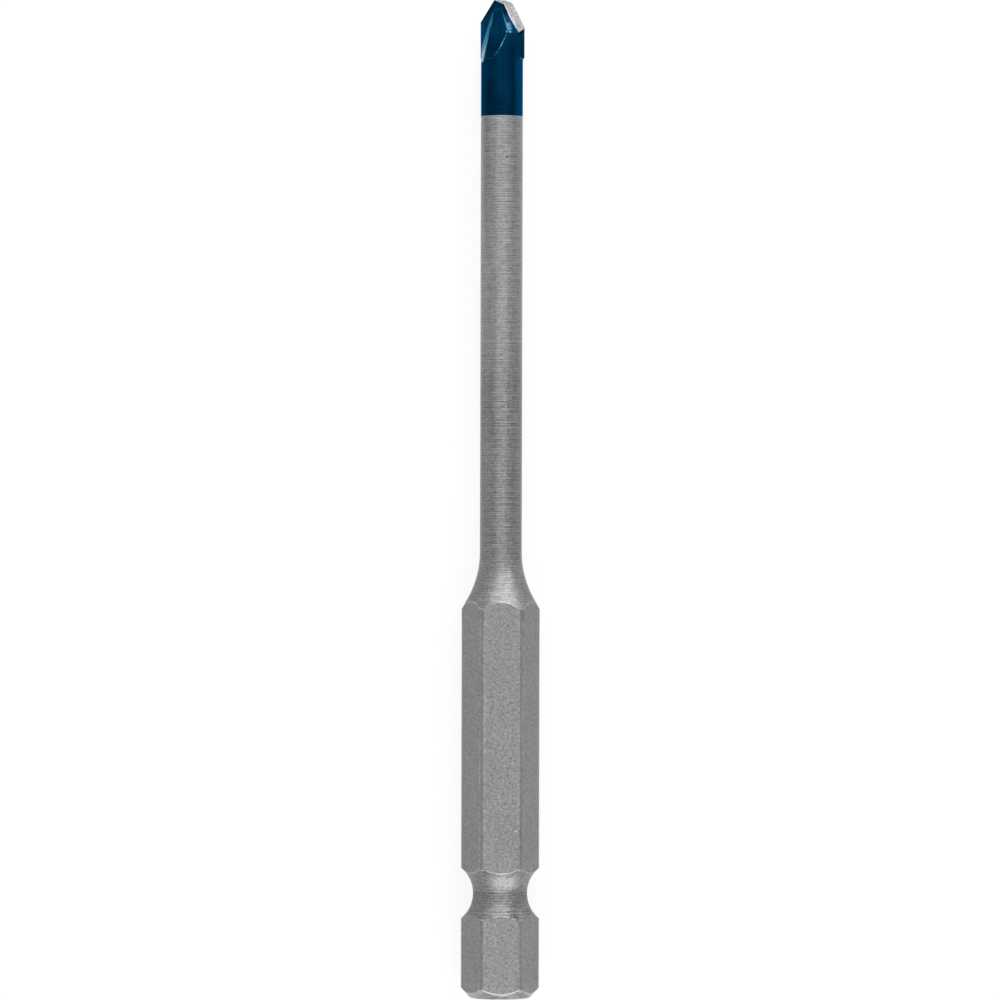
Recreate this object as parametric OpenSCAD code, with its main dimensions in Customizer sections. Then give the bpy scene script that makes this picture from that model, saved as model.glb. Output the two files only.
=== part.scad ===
// Glass and tile drill bit: a steel shank with a hexagonal drive end, and a carbide plate brazed
// across its slotted nose. The bit lies on one flat of its hexagon, with its axis along Y and its
// point at +Y. Each sub-part is drawn standing on its drive end and is then laid down.

/* [Shank] */
// Length from the drive end to the point
overall_length = 90; // [80:1:150]
// Hexagon width across its flats
hex_across_flats = 6.35; // [6.1:0.05:6.6]
// Diameter that the hexagon's corners are rounded to
corner_diameter = 7.04; // [6.8:0.02:7.3]
// Length of the hexagon, measured at its corners
hex_length = 35.03; // [25:0.01:40]
// Diameter of the round shaft
shaft_diameter = 3.79; // [3.5:0.01:4.2]

/* [Drive end] */
// Width of the chamfer on the end face
end_chamfer_width = 0.8; // [0.4:0.02:1.2]
// Height of the chamfer on the end face
end_chamfer_height = 0.87; // [0.4:0.01:1.5]
// Distance of the ball groove from the end face
groove_distance = 9.39; // [8.5:0.01:12]
// Diameter left at the bottom of the ball groove
groove_neck_diameter = 4.89; // [4.4:0.01:5.4]
// Radius of the ball groove's section
groove_radius = 2.95; // [2:0.05:3.2]

/* [Shoulder] */
// Angle of the shoulder cone to the axis
shoulder_angle = 29; // [22:0.5:32]
// Radius of the hollow that runs from the cone into the shaft
shoulder_radius = 8.5; // [4:0.25:9]

/* [Carbide plate] */
// Thickness of the plate
plate_thickness = 0.95; // [0.7:0.05:1.2]
// Diameter of the cylinder that the plate's two side edges are ground to
plate_diameter = 4.04; // [3.9:0.02:4.4]
// Shift of that cylinder towards the long lip, which cuts the full size of the hole
plate_shift = 0.05; // [0:0.01:0.08]
// Depth of the plate below the point
plate_depth = 5.4; // [4.6:0.1:7]
// Bevel at the foot of the plate's side edges
plate_foot_bevel = 0.16; // [0.05:0.01:0.3]
// Side relief behind each corner: direction that it faces, from the plate's long end
side_relief_turn = -18; // [-24:0.5:-12]
// Side relief: distance from the axis
side_relief_offset = 1.873; // [1.8:0.001:1.92]
// Turn of the plate about the axis, against the hexagon's flats
plate_turn = -27; // [-60:1:60]

/* [Ground lips] */
// Long lip flank: direction that it faces, from the plate's long end
long_flank_turn = -30; // [-34:0.5:-24]
// Long lip flank: lean back from upright
long_flank_lean = 25.4; // [23:0.1:28]
// Long lip flank: distance from the point
long_flank_offset = 0.343; // [0.32:0.001:0.38]
// Long lip nose facet: direction that it faces
nose_facet_turn = -37.5; // [-45:0.5:-30]
// Long lip nose facet: lean back from upright
nose_facet_lean = 61.5; // [55:0.5:68]
// Long lip nose facet: distance from the point
nose_facet_offset = -0.075; // [-0.12:0.005:-0.04]
// Short lip flank: direction that it faces
short_flank_turn = 142.5; // [138:0.5:150]
// Short lip flank: lean back from upright
short_flank_lean = 28.4; // [26:0.1:32]
// Short lip flank: distance from the point
short_flank_offset = 0.131; // [0.1:0.001:0.16]

/* [Jaws] */
// Depth of the jaws' blunt ends below the point
jaw_depth = 0.86; // [0.8:0.02:1.4]
// Cheek, ground along the jaw to make room for dust: direction that it faces
cheek_turn = -103.5; // [-110:0.5:-96]
// Cheek: lean back from upright
cheek_lean = 17; // [14:0.5:20]
// Cheek: distance from the point
cheek_offset = 0.235; // [0.15:0.005:0.3]
// Gash wall, which bares the plate in front of a lip: direction that it faces
gash_turn = -137.5; // [-145:0.5:-130]
// Gash wall: lean back from upright
gash_lean = 13.3; // [11:0.1:16]
// Gash wall: distance from the point
gash_offset = 0.54; // [0.46:0.005:0.62]
// Heel, sloped away behind a lip: direction that it faces
heel_turn = -31.5; // [-40:0.5:-24]
// Heel: lean back from upright
heel_lean = 33.3; // [29:0.1:37]
// Heel: distance from the point
heel_offset = -0.075; // [-0.14:0.005:-0.02]

/* [Joint] */
// Thickness of the braze film on each side of the plate and under it
braze_thickness = 0.05; // [0.03:0.01:0.08]

/* [Hidden] */

$fn = 96;
steel_colour = [0.57, 0.57, 0.57];
lacquer_colour = [0.01, 0.17, 0.29];
braze_colour = [0.72, 0.56, 0.30];

hex_corners = 6;
hex_radius = hex_across_flats / 2 / cos(180 / hex_corners);
corner_radius = corner_diameter / 2;
shaft_radius = shaft_diameter / 2;
end_face_radius = corner_radius - end_chamfer_width;
groove_centre_radius = groove_neck_diameter / 2 + groove_radius;

// The shoulder's cone runs tangent into its hollow, and the hollow runs tangent into the shaft.
hollow_foot_radius = shaft_radius + shoulder_radius * (1 - cos(shoulder_angle));
hollow_foot = hex_length + (corner_radius - hollow_foot_radius) / tan(shoulder_angle);
hollow_top = hollow_foot + shoulder_radius * sin(shoulder_angle);

nose_top = overall_length - jaw_depth;
plate_foot = overall_length - plate_depth;
slot_width = plate_thickness + 2 * braze_thickness;
slot_foot = plate_foot - braze_thickness;

// Larger than anything that is cut away.
clearance = 20;

// Lays what is drawn upright on a flat of its hexagon, with the middle of its length at the origin.
module lay_down() {
    translate([0, -overall_length / 2, hex_across_flats / 2])
        rotate([-90, 0, 0])
            children();
}

// Everything beyond a ground plane. The plane's outward normal has the given turn about the axis and
// lean from the horizontal, and the plane lies at the given distance from the point.
module beyond_plane(turn, lean, offset) {
    translate([0, 0, overall_length])
        rotate([0, 90 - lean, turn])
            translate([-clearance / 2, -clearance / 2, offset])
                cube(clearance);
}

// Half of the turned outline: radius along X, height along Y.
module turned_outline() {
    difference() {
        union() {
            polygon([
                [0, 0],
                [end_face_radius, 0],
                [corner_radius, end_chamfer_height],
                [corner_radius, hex_length],
                [hollow_foot_radius, hollow_foot],
                [0, hollow_foot]
            ]);
            difference() {
                translate([0, hex_length])
                    square([hollow_foot_radius, hollow_top - hex_length]);
                translate([shaft_radius + shoulder_radius, hollow_top])
                    circle(shoulder_radius);
            }
            square([shaft_radius, nose_top]);
        }
        translate([groove_centre_radius, groove_distance])
            circle(groove_radius);
    }
}

// The turned bar with its hexagon, before its nose is slotted and ground.
module turned_bar() {
    intersection() {
        rotate_extrude()
            turned_outline();
        cylinder(h = overall_length, r = hex_radius, $fn = hex_corners);
    }
}

// What is ground off the nose: cheek, gash and heel of one jaw, and the same half a turn round.
module jaw_grinding() {
    rotate([0, 0, plate_turn])
        for (half_turn = [0, 180]) {
            beyond_plane(cheek_turn + half_turn, cheek_lean, cheek_offset);
            beyond_plane(gash_turn + half_turn, gash_lean, gash_offset);
            beyond_plane(heel_turn + half_turn, heel_lean, heel_offset);
        }
}

// The slab of space across the nose that holds the plate and its braze.
module nose_slab(width, foot) {
    rotate([0, 0, plate_turn])
        translate([-clearance / 2, -width / 2, foot])
            cube([clearance, width, clearance]);
}

// The steel bar with its slot and its ground jaws.
module shank() {
    color(steel_colour)
        lay_down()
            difference() {
                turned_bar();
                nose_slab(slot_width, slot_foot);
                jaw_grinding();
            }
}

// The carbide plate before it is ground: a slab with round side edges that are bevelled at the foot.
module plate_blank() {
    plate_radius = plate_diameter / 2;
    intersection() {
        nose_slab(plate_thickness, plate_foot);
        rotate([0, 0, plate_turn])
            translate([plate_shift, 0, plate_foot])
                union() {
                    cylinder(h = plate_foot_bevel, r1 = plate_radius - plate_foot_bevel, r2 = plate_radius);
                    translate([0, 0, plate_foot_bevel])
                        cylinder(h = plate_depth, r = plate_radius);
                }
    }
}

// What is ground off the plate: the relief of both sides, and the flanks of its two unequal lips.
module plate_grinding() {
    rotate([0, 0, plate_turn]) {
        for (half_turn = [0, 180])
            beyond_plane(side_relief_turn + half_turn, 0, side_relief_offset);
        beyond_plane(long_flank_turn, long_flank_lean, long_flank_offset);
        beyond_plane(nose_facet_turn, nose_facet_lean, nose_facet_offset);
        beyond_plane(short_flank_turn, short_flank_lean, short_flank_offset);
    }
}

module carbide_plate() {
    color(lacquer_colour)
        lay_down()
            difference() {
                plate_blank();
                plate_grinding();
            }
}

// The film of filler metal that fills the slot round the plate, ground back with the jaws.
module braze_film() {
    color(braze_colour)
        lay_down()
            difference() {
                intersection() {
                    turned_bar();
                    nose_slab(slot_width, slot_foot);
                }
                nose_slab(plate_thickness, plate_foot);
                jaw_grinding();
            }
}

shank();
carbide_plate();
braze_film();
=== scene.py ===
"""Looks of the glass and tile drill bit: meshes, finishes, floor, light and camera.

Each piece is modelled upright and in millimetres, standing on its drive end with the axis along Z.
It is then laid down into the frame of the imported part, in metres, where it lies on one flat of its
hexagon with its point at +Y.
"""

import logging
import math
from dataclasses import dataclass
from enum import Enum
from typing import Any, Iterable

import bmesh
import bpy
from bmesh.types import BMEdge, BMesh, BMFace, BMVert
from mathutils import Matrix, Vector


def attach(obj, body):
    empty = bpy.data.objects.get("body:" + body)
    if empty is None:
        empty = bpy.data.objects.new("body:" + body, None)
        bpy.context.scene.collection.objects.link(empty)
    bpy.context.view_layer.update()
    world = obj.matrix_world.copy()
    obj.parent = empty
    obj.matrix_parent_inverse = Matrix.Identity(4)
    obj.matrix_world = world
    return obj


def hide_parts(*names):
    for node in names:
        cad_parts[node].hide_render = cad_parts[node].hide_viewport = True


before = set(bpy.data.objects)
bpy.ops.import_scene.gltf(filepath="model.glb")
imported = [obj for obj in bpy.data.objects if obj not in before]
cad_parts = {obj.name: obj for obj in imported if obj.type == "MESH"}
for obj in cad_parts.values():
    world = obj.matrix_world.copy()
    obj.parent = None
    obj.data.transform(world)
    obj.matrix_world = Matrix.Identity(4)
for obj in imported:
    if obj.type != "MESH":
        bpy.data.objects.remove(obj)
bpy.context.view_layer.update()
LOG = logging.getLogger("drill_bit")

# Metres in a millimetre.
MM = 0.001
# Distance in millimetres at which points become one, and at which a point counts as on a plane.
TOUCH = 1e-4
SLACK = 10 * TOUCH
UP = Vector((0.0, 0.0, 1.0))
Triple = tuple[float, float, float]
Colour = Triple
WHITE: Colour = (1.0, 1.0, 1.0)
EVEN: Triple = (1.0, 1.0, 1.0)


class Slot(Enum):
    """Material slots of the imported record."""

    STEEL = "steel"
    CARBIDE = "carbide"
    BRAZE = "braze"


class Mark(Enum):
    """Names of the face attributes that the finishes read."""

    EDGE = "edge"
    FLAT = "flat"
    FACET = "facet"
    CORNER = "corner"
    GASH = "gash"
    HEEL = "heel"


def srgb(red: float, green: float, blue: float) -> Colour:
    """Turns a colour as seen on a screen, from 0 to 255, into linear light.

    Args:
        red: Red on the screen.
        green: Green on the screen.
        blue: Blue on the screen.

    Returns:
        The colour in linear light.
    """

    def linear(level: float) -> float:
        """Linear light of one screen level."""
        share = level / 255
        return share / 12.92 if share <= 0.04045 else ((share + 0.055) / 1.055) ** 2.4

    return linear(red), linear(green), linear(blue)


def grey(level: float) -> tuple[float, float, float, float]:
    """An even grey in linear light, with its alpha."""
    return level, level, level, 1.0


def turned_direction(turn: float, lean: float = 0.0) -> Vector:
    """A direction from the axis of an upright piece.

    Args:
        turn: Turn about the axis, in degrees.
        lean: Rise above the horizontal, in degrees.

    Returns:
        The direction, as a unit vector.
    """
    about, rise = math.radians(turn), math.radians(lean)
    reach = math.cos(rise)
    return Vector((reach * math.cos(about), reach * math.sin(about), math.sin(rise)))


def add_object(name: str, data: bpy.types.ID) -> bpy.types.Object:
    """Puts an object into the scene.

    Args:
        name: Name of the object.
        data: Its mesh, lamp or camera.

    Returns:
        The object.
    """
    made = bpy.data.objects.new(name, data)
    bpy.context.scene.collection.objects.link(made)
    return made


def mesh_object(name: str, bm: BMesh) -> bpy.types.Object:
    """Makes an object of a modelled mesh.

    Args:
        name: Name of the object and of its mesh.
        bm: The modelled mesh, which is freed.

    Returns:
        The object.
    """
    data = bpy.data.meshes.new(name)
    bm.to_mesh(data)
    bm.free()
    return add_object(name, data)


@dataclass(frozen=True)
class BitSizes:
    """Sizes of the bit in millimetres and degrees, the same as in the part's source.

    Attributes:
        overall_length: Length from the drive end to the point.
        hex_across_flats: Width of the hexagon across its flats.
        corner_diameter: Diameter that the hexagon's corners are rounded to.
        hex_length: Length of the hexagon at its corners.
        shaft_diameter: Diameter of the round shaft.
        end_chamfer_width: Width of the chamfer on the end face.
        end_chamfer_height: Height of that chamfer.
        groove_distance: Distance of the ball groove from the end face.
        groove_neck_diameter: Diameter at the bottom of the groove.
        groove_radius: Radius of the groove's section.
        shoulder_angle: Angle of the shoulder cone to the axis.
        shoulder_radius: Radius of the hollow from the cone into the shaft.
        plate_thickness: Thickness of the carbide plate.
        plate_diameter: Diameter that the plate's side edges are ground to.
        plate_shift: Shift of that cylinder towards the long lip.
        plate_depth: Depth of the plate below the point.
        plate_foot_bevel: Bevel at the foot of the plate's side edges.
        plate_turn: Turn of the plate about the axis.
        jaw_depth: Depth of the jaws' blunt ends below the point.
        lacquer_length: Length of the lacquered end.
        braze_thickness: Thickness of the braze film.
        segments: Number of steps round the axis.
    """

    overall_length: float = 90.0
    hex_across_flats: float = 6.35
    corner_diameter: float = 7.04
    hex_length: float = 35.03
    shaft_diameter: float = 3.79
    end_chamfer_width: float = 0.8
    end_chamfer_height: float = 0.87
    groove_distance: float = 9.39
    groove_neck_diameter: float = 4.89
    groove_radius: float = 2.95
    shoulder_angle: float = 29.0
    shoulder_radius: float = 8.5
    plate_thickness: float = 0.95
    plate_diameter: float = 4.04
    plate_shift: float = 0.05
    plate_depth: float = 5.4
    plate_foot_bevel: float = 0.16
    plate_turn: float = -27.0
    jaw_depth: float = 0.86
    lacquer_length: float = 10.52
    braze_thickness: float = 0.05
    segments: int = 192

    @property
    def axis_height(self) -> float:
        """Height of the axis above the floor, and of the flats above the axis."""
        return self.hex_across_flats / 2

    @property
    def corner_radius(self) -> float:
        """Radius of the hexagon's rounded corners."""
        return self.corner_diameter / 2

    @property
    def shaft_radius(self) -> float:
        """Radius of the round shaft."""
        return self.shaft_diameter / 2

    @property
    def nose_top(self) -> float:
        """Height of the jaws' blunt ends."""
        return self.overall_length - self.jaw_depth

    @property
    def lacquer_border(self) -> float:
        """Height at which the lacquer starts."""
        return self.overall_length - self.lacquer_length

    @property
    def plate_foot(self) -> float:
        """Height of the plate's foot."""
        return self.overall_length - self.plate_depth

    @property
    def slot_foot(self) -> float:
        """Height of the slot's floor."""
        return self.plate_foot - self.braze_thickness

    @property
    def slot_width(self) -> float:
        """Width of the slot, which holds the plate and its braze."""
        return self.plate_thickness + 2 * self.braze_thickness

    @property
    def groove_centre_radius(self) -> float:
        """Distance of the groove's section centre from the axis."""
        return self.groove_neck_diameter / 2 + self.groove_radius

    @property
    def groove_half_width(self) -> float:
        """Half of the groove's width at the hexagon's corners."""
        reach = self.groove_centre_radius - self.corner_radius
        return math.sqrt(self.groove_radius**2 - reach**2)

    @property
    def across(self) -> Vector:
        """Direction across the plate's thickness."""
        return turned_direction(self.plate_turn + 90)

    @property
    def point(self) -> Vector:
        """The bit's point."""
        return UP * self.overall_length

    def laid_direction(self, upright: Vector) -> Vector:
        """A direction of an upright piece, in the part's frame."""
        return Matrix.Rotation(math.radians(-90), 3, "X") @ upright

    def laid(self, upright: Vector) -> Vector:
        """A point of an upright piece, in millimetres of the part's frame."""
        rest = Vector((0.0, -self.overall_length / 2, self.axis_height))
        return self.laid_direction(upright) + rest

    def laid_down(self) -> Matrix:
        """Takes an upright piece in millimetres into the part's frame in metres."""
        down = Matrix.Rotation(math.radians(-90), 4, "X")
        rest = Matrix.Translation(self.laid(Vector()))
        return Matrix.Scale(MM, 4) @ rest @ down


@dataclass(frozen=True)
class GroundPlane:
    """A plane ground on the nose, seen from the plate's long end.

    Attributes:
        turn: Direction that it faces, about the axis, in degrees.
        lean: Lean back from upright, in degrees.
        offset: Distance from the point, in millimetres.
        mark: Face attribute that the ground face gets.
        bare: Whether the ground face is bare of lacquer.
    """

    turn: float
    lean: float
    offset: float
    mark: Mark | None = None
    bare: bool = False

    def facing(self, plate_turn: float, half_turn: bool = False) -> Vector:
        """Outward direction of the plane, or of the one on the other side."""
        return turned_direction(self.turn + plate_turn + (180 if half_turn else 0), self.lean)


CHEEK = GroundPlane(turn=-103.5, lean=17.0, offset=0.235)
GASH = GroundPlane(turn=-137.5, lean=13.3, offset=0.54, mark=Mark.GASH)
HEEL = GroundPlane(turn=-31.5, lean=33.3, offset=-0.075, mark=Mark.HEEL)
JAW_PLANES = (CHEEK, GASH, HEEL)

SIDE_RELIEF = GroundPlane(turn=-18.0, lean=0.0, offset=1.873)
LONG_FLANK = GroundPlane(turn=-30.0, lean=25.4, offset=0.343, bare=True)
NOSE_FACET = GroundPlane(turn=-37.5, lean=61.5, offset=-0.075, bare=True)
SHORT_FLANK = GroundPlane(turn=142.5, lean=28.4, offset=0.131, bare=True)
LIP_PLANES = (LONG_FLANK, NOSE_FACET, SHORT_FLANK)


class Signal:
    """A shader socket that takes part in Python expressions."""

    def __init__(self, graph: "Graph", socket: bpy.types.NodeSocket | None) -> None:
        """Wraps an output socket of one of the graph's nodes, if the node has one."""
        self.graph = graph
        self.socket = socket

    def _math(self, operation: str, *values: "Signal | float") -> "Signal":
        """The result of a Math node that takes the values in order."""
        return self.graph.node("ShaderNodeMath", {"operation": operation}, dict(enumerate(values)))

    def __add__(self, other: "Signal | float") -> "Signal":
        """Sum."""
        return self._math("ADD", self, other)

    __radd__ = __add__

    def __sub__(self, other: "Signal | float") -> "Signal":
        """Difference."""
        return self._math("SUBTRACT", self, other)

    def __rsub__(self, other: float) -> "Signal":
        """Difference from a number."""
        return self._math("SUBTRACT", other, self)

    def __mul__(self, other: "Signal | float") -> "Signal":
        """Product."""
        return self._math("MULTIPLY", self, other)

    __rmul__ = __mul__

    def __truediv__(self, other: "Signal | float") -> "Signal":
        """Quotient."""
        return self._math("DIVIDE", self, other)

    def sine(self) -> "Signal":
        """Sine, for an angle in radians."""
        return self._math("SINE", self)

    def sign(self) -> "Signal":
        """1 for values above 0 and -1 for values below."""
        return self._math("SIGN", self)

    def absolute(self) -> "Signal":
        """Size without its sign."""
        return self._math("ABSOLUTE", self)

    def larger(self, other: "Signal | float") -> "Signal":
        """The larger of two values."""
        return self._math("MAXIMUM", self, other)

    def smaller(self, other: "Signal | float") -> "Signal":
        """The smaller of two values."""
        return self._math("MINIMUM", self, other)

    def rise(self, low: float, high: float) -> "Signal":
        """A smooth step that is 0 at low and 1 at high; with high below low, the step falls."""
        return self.graph.node(
            "ShaderNodeMapRange",
            {"interpolation_type": "SMOOTHSTEP"},
            {"Value": self, "From Min": low, "From Max": high},
        )

    def band(self, low: float, high: float, soft: float) -> "Signal":
        """1 between two values and 0 outside, with sides of the given half width."""
        return self.rise(low - soft, low + soft) * self.rise(high + soft, high - soft)

    def output(self, name: str) -> "Signal":
        """Another output of the same node."""
        return Signal(self.graph, self.socket.node.outputs[name])


class Graph:
    """The node tree of one material, with coordinates in millimetres of the part's frame."""

    def __init__(self, owner: bpy.types.Material | bpy.types.World) -> None:
        """Starts an empty node tree.

        Args:
            owner: Material or world that gets the tree.
        """
        owner.use_nodes = True
        self.tree = owner.node_tree
        self.tree.nodes.clear()
        self._place: Signal | None = None

    def node(
        self,
        kind: str,
        settings: dict[str, Any] | None = None,
        inputs: dict[int | str, Any] | None = None,
        output: int | str = 0,
    ) -> Signal:
        """Adds a node.

        Args:
            kind: Type of the node.
            settings: Properties that are set first.
            inputs: Values or signals for its sockets.
            output: Which of its outputs is returned.

        Returns:
            The chosen output.
        """
        made = self.tree.nodes.new(kind)
        for name, value in (settings or {}).items():
            setattr(made, name, value)
        for key, value in (inputs or {}).items():
            if isinstance(value, Signal):
                self.tree.links.new(value.socket, made.inputs[key])
            else:
                made.inputs[key].default_value = value
        return Signal(self, made.outputs[output] if made.outputs else None)

    def place(self) -> Signal:
        """Position on the piece, in millimetres of the part's frame."""
        if self._place is None:
            origin = self.node("ShaderNodeTexCoord", output="Object")
            per_mm = (1 / MM,) * 3
            self._place = self.node(
                "ShaderNodeMapping", inputs={"Vector": origin, "Scale": per_mm}
            )
        return self._place

    def axes(self) -> tuple[Signal, Signal, Signal]:
        """X, Y and Z of the position, in millimetres."""
        split = self.node("ShaderNodeSeparateXYZ", inputs={0: self.place()})
        return split, split.output("Y"), split.output("Z")

    def noise(self, scale: float, detail: float = 2.0, stretch: Triple = EVEN) -> Signal:
        """Cloudy noise over the piece.

        Args:
            scale: Features per millimetre.
            detail: Number of finer layers.
            stretch: Factors on the three axes.

        Returns:
            The noise, about 0.5 on average.
        """
        stretched = self.node(
            "ShaderNodeMapping", inputs={"Vector": self.place(), "Scale": stretch}
        )
        return self.node(
            "ShaderNodeTexNoise",
            inputs={"Vector": stretched, "Scale": scale, "Detail": detail},
        )

    def uneven(self, scale: float, detail: float = 2.0, stretch: Triple = EVEN) -> Signal:
        """The same noise, about 0 on average."""
        return self.noise(scale, detail, stretch) - 0.5

    def uneven_along(self, along: Signal, scale: float, detail: float = 2.0) -> Signal:
        """Noise that changes along one value only, about 0 on average."""
        lines = self.node(
            "ShaderNodeTexNoise",
            {"noise_dimensions": "1D"},
            {"W": along, "Scale": scale, "Detail": detail},
        )
        return lines - 0.5

    def beyond(self, base: Vector, facing: Vector) -> Signal:
        """Distance in millimetres beyond the plane through a point, negative on the inner side."""
        reach = self.node(
            "ShaderNodeVectorMath",
            {"operation": "DOT_PRODUCT"},
            {0: self.place(), 1: facing},
            output="Value",
        )
        return reach - base.dot(facing)

    def mark(self, mark: Mark) -> Signal:
        """A face attribute of the piece."""
        return self.node("ShaderNodeAttribute", {"attribute_name": mark.value}, output="Fac")

    def tint(self, factor: Signal | float, low: Any, high: Any) -> Signal:
        """Mixes two colours.

        Args:
            factor: Share of the second colour.
            low: First colour, or a signal of one.
            high: Second colour, or a signal of one.

        Returns:
            The mixed colour.
        """

        def opaque(value: Any) -> Any:
            """A colour with its alpha, or a signal as it is."""
            return value if isinstance(value, Signal) else (*value, 1.0)

        return self.node(
            "ShaderNodeMix",
            {"data_type": "RGBA"},
            {0: factor, 6: opaque(low), 7: opaque(high)},
            output=2,
        )

    def shade(self, colour: Colour, level: Signal) -> Signal:
        """Multiplies a colour by a value."""
        return self.node(
            "ShaderNodeVectorMath", {"operation": "SCALE"}, {0: colour, "Scale": level}
        )


@dataclass(frozen=True)
class Spot:
    """A point of the bit's surface as the finishes see it, in millimetres.

    Attributes:
        graph: Graph that takes the finish's nodes.
        sizes: Sizes of the bit.
        aside: Position across the bit.
        along: Position along the bit, from its middle towards its point.
        above: Height above the axis.
    """

    graph: Graph
    sizes: BitSizes
    aside: Signal
    along: Signal
    above: Signal

    @classmethod
    def on(cls, graph: Graph, sizes: BitSizes) -> "Spot":
        """The point that a graph shades."""
        aside, along, up = graph.axes()
        return cls(graph, sizes, aside, along, up - sizes.axis_height)

    @property
    def height(self) -> Signal:
        """Distance from the drive end."""
        return self.along + self.sizes.overall_length / 2

    @property
    def depth(self) -> Signal:
        """Distance from the point."""
        return self.sizes.overall_length / 2 - self.along

    @property
    def side(self) -> Signal:
        """Position across the bit, seen from the side that the surface is on."""
        return self.aside * self.above.sign()

    @property
    def off_plate(self) -> Signal:
        """Distance from the middle of the plate's thickness."""
        across = self.sizes.laid_direction(self.sizes.across)
        return self.graph.beyond(self.sizes.laid(Vector()), across).absolute()

    @property
    def under_cheek(self) -> Signal:
        """Distance below the nearer of the two cheeks."""
        return self.below(CHEEK).smaller(self.below(CHEEK, half_turn=True))

    def below(self, plane: GroundPlane, half_turn: bool = False) -> Signal:
        """Distance below a plane that is ground on the nose.

        Args:
            plane: The plane.
            half_turn: Whether the plane is the one on the other side.

        Returns:
            The distance, negative beyond the plane.
        """
        facing = plane.facing(self.sizes.plate_turn, half_turn)
        base = self.sizes.laid(self.sizes.point + facing * plane.offset)
        return 0 - self.graph.beyond(base, self.sizes.laid_direction(facing))


@dataclass(frozen=True)
class Surface:
    """What one finish gives a surface at each point.

    Attributes:
        colour: Base colour.
        roughness: Roughness.
        height: Relief in micrometres.
        metallic: Share of the metal's own gloss.
    """

    colour: Signal
    roughness: Signal
    height: Signal
    metallic: Signal | float = 1.0


@dataclass(frozen=True)
class Stretches:
    """Masks that tell the bare stretches of the shank apart, each from 0 to 1.

    Attributes:
        flats: The hexagon's flats.
        facets: The facets beside the hexagon's corners.
        corners: The hexagon's rounded corners.
        shoulder: The hollow and the cone between the shaft and the hexagon.
        upper_wall: The groove's wall on the point's side, which is smooth.
        lower_wall: Its wall on the drive end's side, which is coarsely turned.
        lower_shaft: The shaft's half beside the hexagon, with the shoulder.
        chamfer: The chamfer of the drive end.
        front: The middle of the bit as seen from above.
    """

    flats: Signal
    facets: Signal
    corners: Signal
    shoulder: Signal
    upper_wall: Signal
    lower_wall: Signal
    lower_shaft: Signal
    chamfer: Signal
    front: Signal

    @classmethod
    def of(cls, spot: Spot) -> "Stretches":
        """Makes the masks.

        Args:
            spot: The point of the surface.

        Returns:
            The masks.
        """
        sizes, height = spot.sizes, spot.height
        hexagon, middle, half = sizes.hex_length, sizes.groove_distance, sizes.groove_half_width
        flats = spot.graph.mark(Mark.FLAT)
        turned = 1 - flats
        past_hexagon = height.rise(hexagon - 1.5, hexagon - 0.5)
        return cls(
            flats=flats,
            facets=spot.graph.mark(Mark.FACET),
            corners=spot.graph.mark(Mark.CORNER),
            shoulder=height.band(hexagon - 1.5, hexagon + 3.2, 0.7) * turned,
            upper_wall=height.band(middle + 0.5, middle + half, 0.25) * turned,
            lower_wall=height.band(middle - half, middle + 0.3, 0.3) * turned,
            lower_shaft=height.rise(hexagon + 26.0, hexagon + 19.0) * past_hexagon * turned,
            chamfer=height.band(0.02, sizes.end_chamfer_height + 0.01, 0.01) * turned,
            front=spot.aside.absolute().rise(2.0, 1.6),
        )


@dataclass(frozen=True)
class Blemish:
    """A single small mark.

    Attributes:
        at: Its position across the bit and its distance from the drive end or the point.
        reach: Its half width and half length.
        tone: What it adds to the surface's tone.
    """

    at: tuple[float, float]
    reach: tuple[float, float]
    tone: float

    def share(self, aside: Signal, along: Signal) -> Signal:
        """How far a point is inside the mark.

        Args:
            aside: Position across the bit, in millimetres.
            along: Distance from the same end as the mark's, in millimetres.

        Returns:
            1 in the middle of the mark and 0 beyond its border.
        """
        across = (aside - self.at[0]) / self.reach[0]
        down = (along - self.at[1]) / self.reach[1]
        return (across * across + down * down).rise(1.5, 0.4)


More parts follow.
